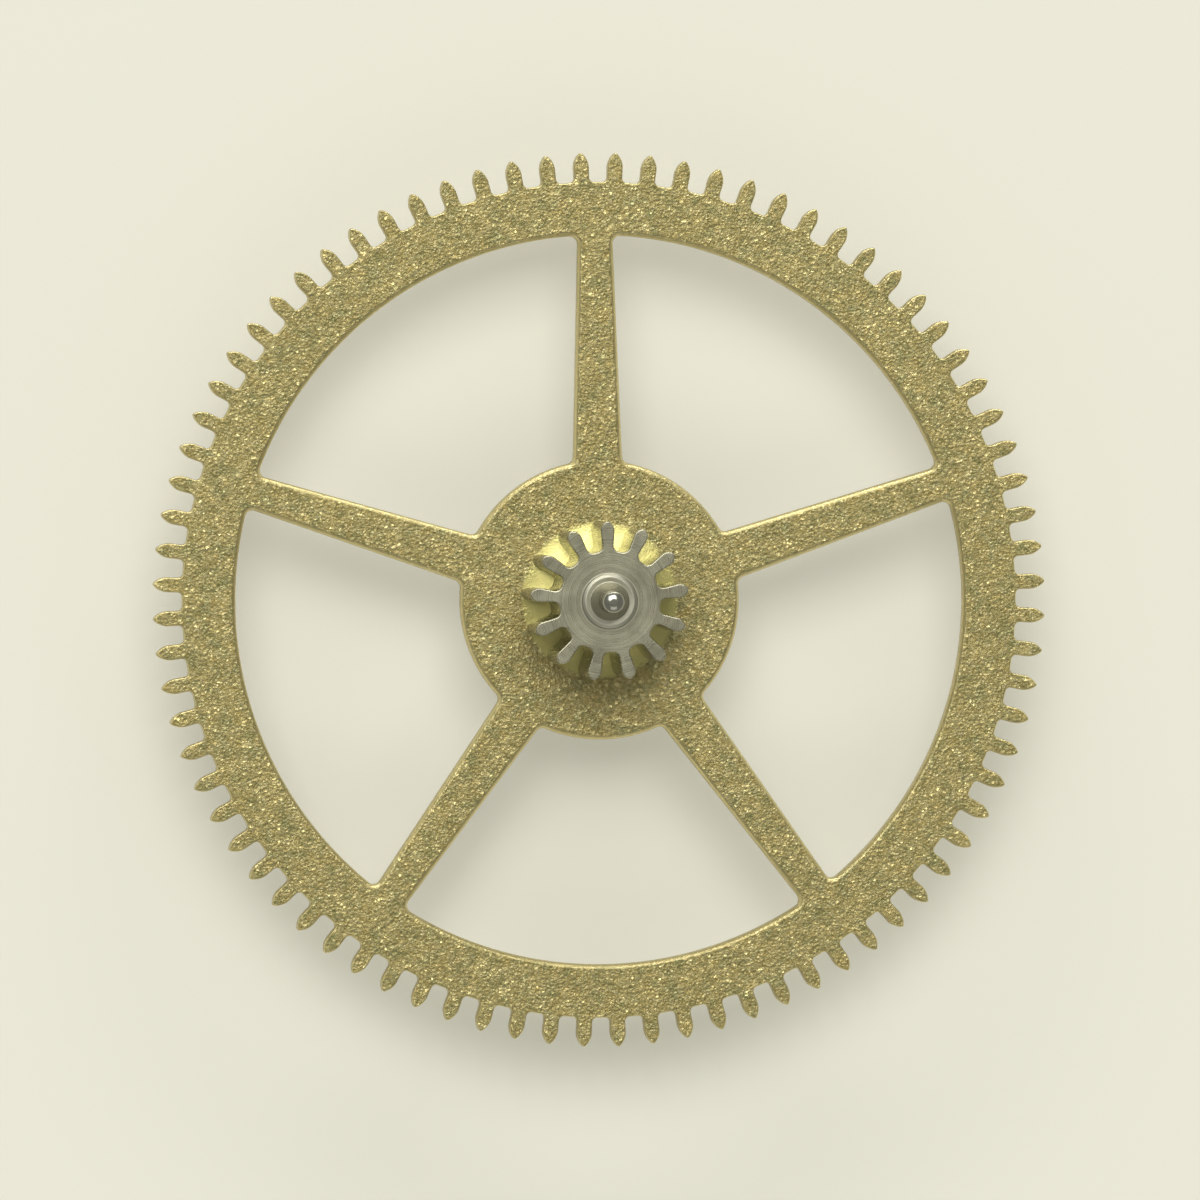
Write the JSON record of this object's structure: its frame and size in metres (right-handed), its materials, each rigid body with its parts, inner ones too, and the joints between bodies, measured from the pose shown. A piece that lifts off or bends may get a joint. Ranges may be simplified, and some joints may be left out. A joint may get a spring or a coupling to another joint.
{
  "type": "third wheel",
  "caption": "Watch gear-train wheel: flat gilt brass wheel with slim teeth, a narrow rim and tapered spokes, riveted on a steel leaf pinion with a pivot at each end.",
  "frame": {"origin": "the lower pivot's end, on the arbor's axis", "axes": "+Z along the arbor, from the wheel towards the pinion's leaves; +Y along one spoke; +X to the right when the pinion side is seen from above"},
  "size_m": [0.008, 0.008, 0.0026],
  "materials": {
    "gilt_brass": "fine-grained matte gilding over stamped brass, with bright rolled edges",
    "hardened_steel": "hardened, turned and polished, with burnished pivots"
  },
  "bodies": {
    "root": {"wheel": "gilt_brass", "pinion": "hardened_steel"}
  },
  "joints": []
}
